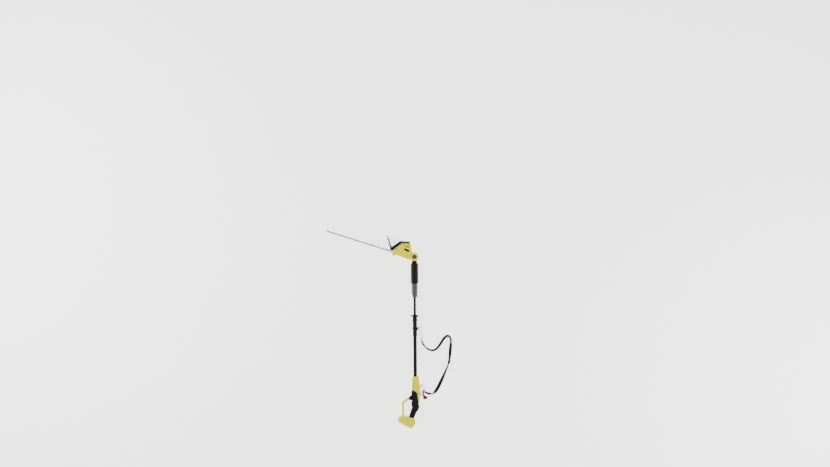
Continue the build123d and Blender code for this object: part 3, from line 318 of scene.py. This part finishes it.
def stitch_row(start, finish):
    """Stitch middles and headings, evenly spaced from start to finish in strap distance and width."""
    start, finish = np.array(start), np.array(finish)
    count = int(np.linalg.norm(finish - start) / stitch_pitch)
    share = (np.arange(count) + 0.5) / count
    return start + share[:, None] * (finish - start), np.tile(finish - start, (count, 1))


box_corners = [(box_near, -box_half), (box_far, -box_half), (box_far, box_half), (box_near, box_half)]
sides_and_cross = ((0, 1), (1, 2), (2, 3), (3, 0), (0, 2), (1, 3))
rows = [stitch_row(box_corners[n], box_corners[m]) for n, m in sides_and_cross]
row_middles = np.vstack([middles for middles, _ in rows])
row_headings = np.vstack([headings for _, headings in rows])
row_headings /= np.linalg.norm(row_headings, axis=1)[:, None]
end_middles = np.vstack([row_middles, [strap_length, 0] + row_middles * (-1, 1)])
end_headings = np.vstack([row_headings, row_headings * (-1, 1)])

# a spindle is a six-sided ring carried along the heading, narrowing to its ends by a fourth power
spindle_rings, spindle_sides = 7, 6
spindle_t = np.linspace(-1, 1, spindle_rings)
spindle_turn = np.arange(spindle_sides) / spindle_sides * 2 * math.pi
spindle_r = np.sqrt(np.maximum(0.02, 1 - spindle_t ** 4))
stitch_at, ahead, wide, deep = (on_strap(values, end_middles[:, 0])
                                for values in (strap_line, tangent, width_dir, thick_dir))
heading = ahead * end_headings[:, :1] + wide * end_headings[:, 1:]
beside = np.cross(deep, heading)
spindle_out = (beside[:, None, :] * np.cos(spindle_turn)[None, :, None]
               + deep[:, None, :] * np.sin(spindle_turn)[None, :, None]) * stitch_radius
stitch_points = []
for face_lift in (strap_thick / 2 + tail_gap, -strap_thick / 2):
    face_middle = stitch_at + wide * end_middles[:, 1:] + deep * face_lift
    ring_middles = (face_middle[:, None, :]
                    + heading[:, None, :] * spindle_t[None, :, None] * stitch_length / 2)
    stitch_points.append((ring_middles[:, :, None, :]
                          + spindle_out[:, None, :, :] * spindle_r[None, :, None, None]).reshape(-1, 3))
stitch_points = np.vstack(stitch_points)
ring_index = np.arange(len(stitch_points)).reshape(-1, spindle_rings, spindle_sides)
ring_quads = np.stack([ring_index[:, :-1], np.roll(ring_index[:, :-1], -1, 2),
                       np.roll(ring_index[:, 1:], -1, 2), ring_index[:, 1:]], -1).reshape(-1, 4)
ring_caps = np.vstack([ring_index[:, 0, ::-1], ring_index[:, -1]])
stitch_mesh = solid_mesh("stitching", stitch_points, ring_quads.tolist() + ring_caps.tolist())
thread, _ = new_material("bonded nylon thread", "2a2a2d", 0.55)
stitch_mesh.materials.append(thread)
stitching = add_object("strap_stitching", stitch_mesh)
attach(stitching, "handle")


# =====================================================================
# Casings: moulded yellow ABS with a fine spark-eroded texture, screwed together in halves.
# The texture breaks up the shine, and handling leaves a few rub marks along the pole.
# =====================================================================
def object_place(material, stretch=(1, 1, 1)):
    """Object coordinates, each axis times its stretch."""
    place = add_node(material, "ShaderNodeTexCoord")
    mapping = add_node(material, "ShaderNodeMapping", {"Scale": stretch}, Vector=place.outputs["Object"])
    return mapping.outputs["Vector"]


def grain_finish(material, principled, grain_mm, depth_mm, rough_low, rough_high, tone_low, tone_high):
    """Moulded or coated surface: fine noise as bump, cloudy roughness, and a slow drift of tone.

    The clouds are about 45 mm across. The tone node is returned, for rub marks to go over it.
    """
    place = object_place(material)
    grain = add_node(material, "ShaderNodeTexNoise", {"Scale": 1000.0 / grain_mm, "Detail": 3.0},
                     Vector=place)
    bump = add_node(material, "ShaderNodeBump", {"Strength": 0.55, "Distance": depth_mm / 1000},
                    Height=grain.outputs["Fac"])
    cloud = add_node(material, "ShaderNodeTexNoise", {"Scale": 22.0, "Detail": 5.0, "Roughness": 0.6},
                     Vector=place)
    gloss = add_node(material, "ShaderNodeMapRange",
                     {"From Min": 0.3, "From Max": 0.7, "To Min": rough_low, "To Max": rough_high},
                     Value=cloud.outputs["Fac"])
    tone = add_node(material, "ShaderNodeValToRGB", Fac=cloud.outputs["Fac"])
    colour_between(tone, (0.35, tone_low), (0.65, tone_high))
    for output, socket in ((bump.outputs["Normal"], "Normal"), (gloss.outputs["Result"], "Roughness"),
                           (tone.outputs["Color"], "Base Color")):
        material.node_tree.links.new(output, principled.inputs[socket])
    return tone


def scuffed(material, principled, tone, scuff_colour, scuff_mm, cover):
    """Rub marks that run with the pole: stretched noise, kept only above the cover limit."""
    streak = add_node(material, "ShaderNodeTexNoise",
                      {"Scale": 1000.0 / scuff_mm, "Detail": 2.0, "Distortion": 0.4},
                      Vector=object_place(material, (1.0, 0.12, 1.0)))
    mask = add_node(material, "ShaderNodeMapRange",
                    {"From Min": cover, "From Max": cover + 0.08, "To Min": 0.0, "To Max": 0.55},
                    Value=streak.outputs["Fac"])
    mix = add_node(material, "ShaderNodeMix", {"data_type": "RGBA"})
    under, over, mixed = mix.inputs[6], mix.inputs[7], mix.outputs[2]
    over.default_value = linear(scuff_colour)
    for output, socket in ((mask.outputs["Result"], mix.inputs["Factor"]), (tone.outputs["Color"], under),
                           (mixed, principled.inputs["Base Color"])):
        material.node_tree.links.new(output, socket)


def finish_nodes(material, *nodes):
    """Give CAD nodes this material."""
    for name in nodes:
        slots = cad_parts[name].data.materials
        slots.clear()
        slots.append(material)


yellow, yellow_shader = new_material("yellow ABS", "ecdf00", 0.45, Specular_IOR_Level=0.2)
yellow_tone = grain_finish(yellow, yellow_shader, 0.9, 0.05, 0.30, 0.44, "e2d600", "eee200")
scuffed(yellow, yellow_shader, yellow_tone, "cdbd10", 3.0, 0.68)
finish_nodes(yellow, "handle_shell_left", "handle_shell_right", "hand_guard", "battery_bay", "handle_base",
             "head_shell_left", "head_shell_right")

# =====================================================================
# Dust screen: a sheet of open-cell foam, 2 mm thick, pressed in behind the head's vents.
# The sheet is a grid of two parameters, along the vents and across them, with a slight ripple.
# =====================================================================
button_low, button_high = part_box("tilt_button")
head_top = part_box("head_shell_left")[1][2]
head_pivot = np.array([(button_low[0] + button_high[0]) / 2, (button_low[1] + button_high[1]) / 2])
blade_rise = math.radians(18)  # the blade at rest rises this much from square to the pole
across_blade = np.array([math.sin(blade_rise), math.cos(blade_rise)])
along_blade = np.array([-math.cos(blade_rise), math.sin(blade_rise)])
screen_depth, screen_thick = 0.0135, 0.002
screen_across, screen_along = (0.0475, 0.0690), (0.057, 0.097)  # from the pivot, in metres
ripple, ripple_across, ripple_along = 0.0002, 1400, 1100  # its height, and radians to the metre
screen_n, screen_u = np.meshgrid(np.linspace(*screen_across, 24), np.linspace(*screen_along, 40))
screen_top = (head_top - screen_depth
              + ripple * np.sin(screen_n * ripple_across) * np.sin(screen_u * ripple_along))
screen_xy = head_pivot + screen_n[..., None] * across_blade + screen_u[..., None] * along_blade
screen_points = np.concatenate([np.dstack([screen_xy, level]).reshape(-1, 3)
                                for level in (screen_top, screen_top - screen_thick)])
screen_index = np.arange(screen_n.size).reshape(screen_n.shape)
screen_quads = np.stack([screen_index[:-1, :-1], screen_index[:-1, 1:], screen_index[1:, 1:],
                         screen_index[1:, :-1]], -1).reshape(-1, 4)
rim = np.concatenate([screen_index[0, :-1], screen_index[:-1, -1], screen_index[-1, :0:-1],
                      screen_index[:0:-1, 0]])
rim_quads = np.stack([rim, rim + screen_n.size, np.roll(rim, -1) + screen_n.size, np.roll(rim, -1)], -1)
screen_mesh = solid_mesh("dust_screen", screen_points,
                         screen_quads[:, ::-1].tolist() + (screen_quads + screen_n.size).tolist()
                         + rim_quads[:, ::-1].tolist(), smooth=False)
# open-cell foam: dull, dark olive, and what shows through the vents
foam, foam_shader = new_material("open-cell foam", "3a3608", 0.95, Specular_IOR_Level=0.1)
grain_finish(foam, foam_shader, 0.7, 0.3, 0.9, 1.0, "2c2a06", "4a440c")
screen_mesh.materials.append(foam)
dust_screen = add_object("dust_screen", screen_mesh)
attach(dust_screen, "head")

# =====================================================================
# Soft grips: black thermoplastic rubber, moulded over the handle and the pole.
# It is matt, with a grain that takes nearly all the shine off.
# =====================================================================
rubber, rubber_shader = new_material("soft-touch rubber", "08080a", 0.85, Specular_IOR_Level=0.25)
grain_finish(rubber, rubber_shader, 0.6, 0.08, 0.66, 0.86, "060607", "0c0c0e")
finish_nodes(rubber, "grip_left", "grip_right", "front_grip", "battery_leads", "coiled_lead")

# =====================================================================
# Black mouldings: glass-filled nylon, injection moulded, satin with light rub marks.
# They are the controls, locks, union nut, knuckle, guards, eyelets and badge.
# =====================================================================
nylon, nylon_shader = new_material("black nylon", "08080a", 0.5, Specular_IOR_Level=0.16)
nylon_tone = grain_finish(nylon, nylon_shader, 0.8, 0.05, 0.40, 0.58, "060607", "0c0c0e")
scuffed(nylon, nylon_shader, nylon_tone, "1c1c1f", 2.5, 0.69)
finish_nodes(nylon, "terminal_block", "switch_unit", "trigger", "lockoff_lever", "lower_lock_ring",
             "upper_lock_base", "upper_lock_collar", "union_nut", "knuckle", "top_guard",
             "deflector_plate", "coupling_plug", "front_eyelet", "handle_eyelet", "badge_plate")
slider_mesh.materials.append(nylon)

# =====================================================================
# Grey mouldings: the socket at the end of the pole and the tilt button.
# The same glass-filled nylon, coloured mid grey, and rubbed a little paler.
# =====================================================================
grey, grey_shader = new_material("grey nylon", "474749", 0.5, Specular_IOR_Level=0.3)
grey_tone = grain_finish(grey, grey_shader, 0.8, 0.05, 0.40, 0.56, "424244", "4d4d4f")
scuffed(grey, grey_shader, grey_tone, "646466", 2.5, 0.68)
finish_nodes(grey, "socket", "tilt_button")

# =====================================================================
# Bushes: turned natural acetal, pressed on the tube ends for the tubes to slide on.
# It is milky white with a soft shine.
# =====================================================================
acetal, acetal_shader = new_material("natural acetal", "dcdad0", 0.35)
grain_finish(acetal, acetal_shader, 1.2, 0.02, 0.28, 0.4, "d6d4c8", "e2e0d6")
finish_nodes(acetal, "lower_bush", "middle_foot_bush", "middle_bush", "top_foot_bush")

# =====================================================================
# Tubes: drawn aluminium under black powder coat.
# The coat has a faint orange peel, and its scratches run along the tube.
# =====================================================================
coat, coat_shader = new_material("black powder coat", "060607", 0.42, Specular_IOR_Level=0.14)
coat_tone = grain_finish(coat, coat_shader, 1.6, 0.03, 0.28, 0.4, "040405", "09090a")
scuffed(coat, coat_shader, coat_tone, "1c1c1e", 1.6, 0.71)
finish_nodes(coat, "lower_tube", "middle_tube", "top_tube")

# =====================================================================
# Quick release: a pull tab moulded in dark red acetal, looped round the lower carabiner.
# It is smoother and glossier than the casings.
# =====================================================================
red, red_shader = new_material("red acetal", "740030", 0.32, Specular_IOR_Level=0.3)
grain_finish(red, red_shader, 1.0, 0.03, 0.24, 0.36, "6c002c", "7c0036")
finish_nodes(red, "quick_release")


# =====================================================================
# Bare metals: ground blade steel, zinc-plated steel, near-black screws, cast alloy and brass.
# Each shows the fine lines of its making, which streak its tone and its shine.
# =====================================================================
def brushed(name, colour_low, colour_high, stretch, line_mm, roughness):
    """Metal with fine lines one way: noise squeezed along one axis drives tone, gloss and bump."""
    metal, shader = new_material(name, colour_high, roughness, 1.0)
    lines = add_node(metal, "ShaderNodeTexNoise", {"Scale": 1000.0 / line_mm, "Detail": 4.0},
                     Vector=object_place(metal, stretch))
    bump = add_node(metal, "ShaderNodeBump", {"Strength": 0.35, "Distance": 0.00005},
                    Height=lines.outputs["Fac"])
    tone = add_node(metal, "ShaderNodeValToRGB", Fac=lines.outputs["Fac"])
    colour_between(tone, (0.3, colour_low), (0.7, colour_high))
    gloss = add_node(metal, "ShaderNodeMapRange",
                     {"To Min": roughness - 0.08, "To Max": roughness + 0.08}, Value=lines.outputs["Fac"])
    for output, socket in ((bump.outputs["Normal"], "Normal"), (tone.outputs["Color"], "Base Color"),
                           (gloss.outputs["Result"], "Roughness")):
        metal.node_tree.links.new(output, shader.inputs[socket])
    return metal


blade_steel = brushed("ground blade steel", "4c4e51", "797b7e", (1.0, 1.0, 0.08), 0.8, 0.32)
finish_nodes(blade_steel, "guide_bar", "upper_blade", "lower_blade")
zinc = brushed("zinc-plated steel", "8f9194", "bdbfc2", (0.3, 1.0, 1.0), 1.2, 0.28)
finish_nodes(zinc, "pivot_bolt", "socket_screw", "control_pins", "gear_pin", "blade_bolts", "motor_can",
             "rotor", "upper_carabiner", "lower_carabiner", "upper_carabiner_gate", "lower_carabiner_gate",
             "drive_gear")
# screws: near-black steel. On the head screws this is painted shade for their deep recesses. On the handle
# it keeps them from showing as pale dots on the black grip.
near_black_screw_shade = brushed("near-black screw steel, painted recess shade", "0c0c0d", "1b1b1d", (1.0, 1.0, 1.0), 1.0, 0.4)
finish_nodes(near_black_screw_shade, "handle_screws", "head_screws")
alloy = brushed("die-cast alloy", "a0a1a3", "b6b7b9", (1.0, 1.0, 1.0), 1.5, 0.45)
finish_nodes(alloy, "gearbox_plate", "gearbox_base")
brass = brushed("contact brass", "b08d3c", "cfae5e", (1.0, 1.0, 1.0), 0.8, 0.3)
finish_nodes(brass, "contact_blades", "plug_pins")

# =====================================================================
# Floor and studio light: a pale floor lit from within, under an even white sky.
# Two large soft boxes, low on each side, leave pale edges down the round black parts.
# =====================================================================
floor_half = 12.0
floor_corners = [(-floor_half, -floor_half, 0), (floor_half, -floor_half, 0),
                 (floor_half, floor_half, 0), (-floor_half, floor_half, 0)]
floor_mesh = solid_mesh("floor", floor_corners, [(0, 1, 2, 3)], smooth=False)
floor = add_object("floor", floor_mesh)
floor_paint, _ = new_material("pale studio floor", "ededed", 0.9, Emission_Color=linear("ffffff"),
                              Emission_Strength=2.2)
floor_mesh.materials.append(floor_paint)

world = bpy.data.worlds.new("studio")
world.use_nodes = True
sky = world.node_tree.nodes["Background"]
sky.inputs["Color"].default_value = (1.0, 1.0, 1.0, 1.0)
sky.inputs["Strength"].default_value = 0.7
bpy.context.scene.world = world

lit_point, soft_box = Vector((0.0, 0.7, 0.0)), 3.0
for light_name, place, power in (("key", (-3.2, 1.6, 2.2), 150.0), ("fill", (3.2, 0.2, 2.0), 110.0)):
    lamp_data = bpy.data.lights.new(light_name, "AREA")
    lamp_data.size = soft_box
    lamp_data.energy = power
    lamp = bpy.data.objects.new(light_name, lamp_data)
    lamp.location = place
    lamp.rotation_euler = (lit_point - Vector(place)).to_track_quat("-Z", "Y").to_euler()
    bpy.context.scene.collection.objects.link(lamp)
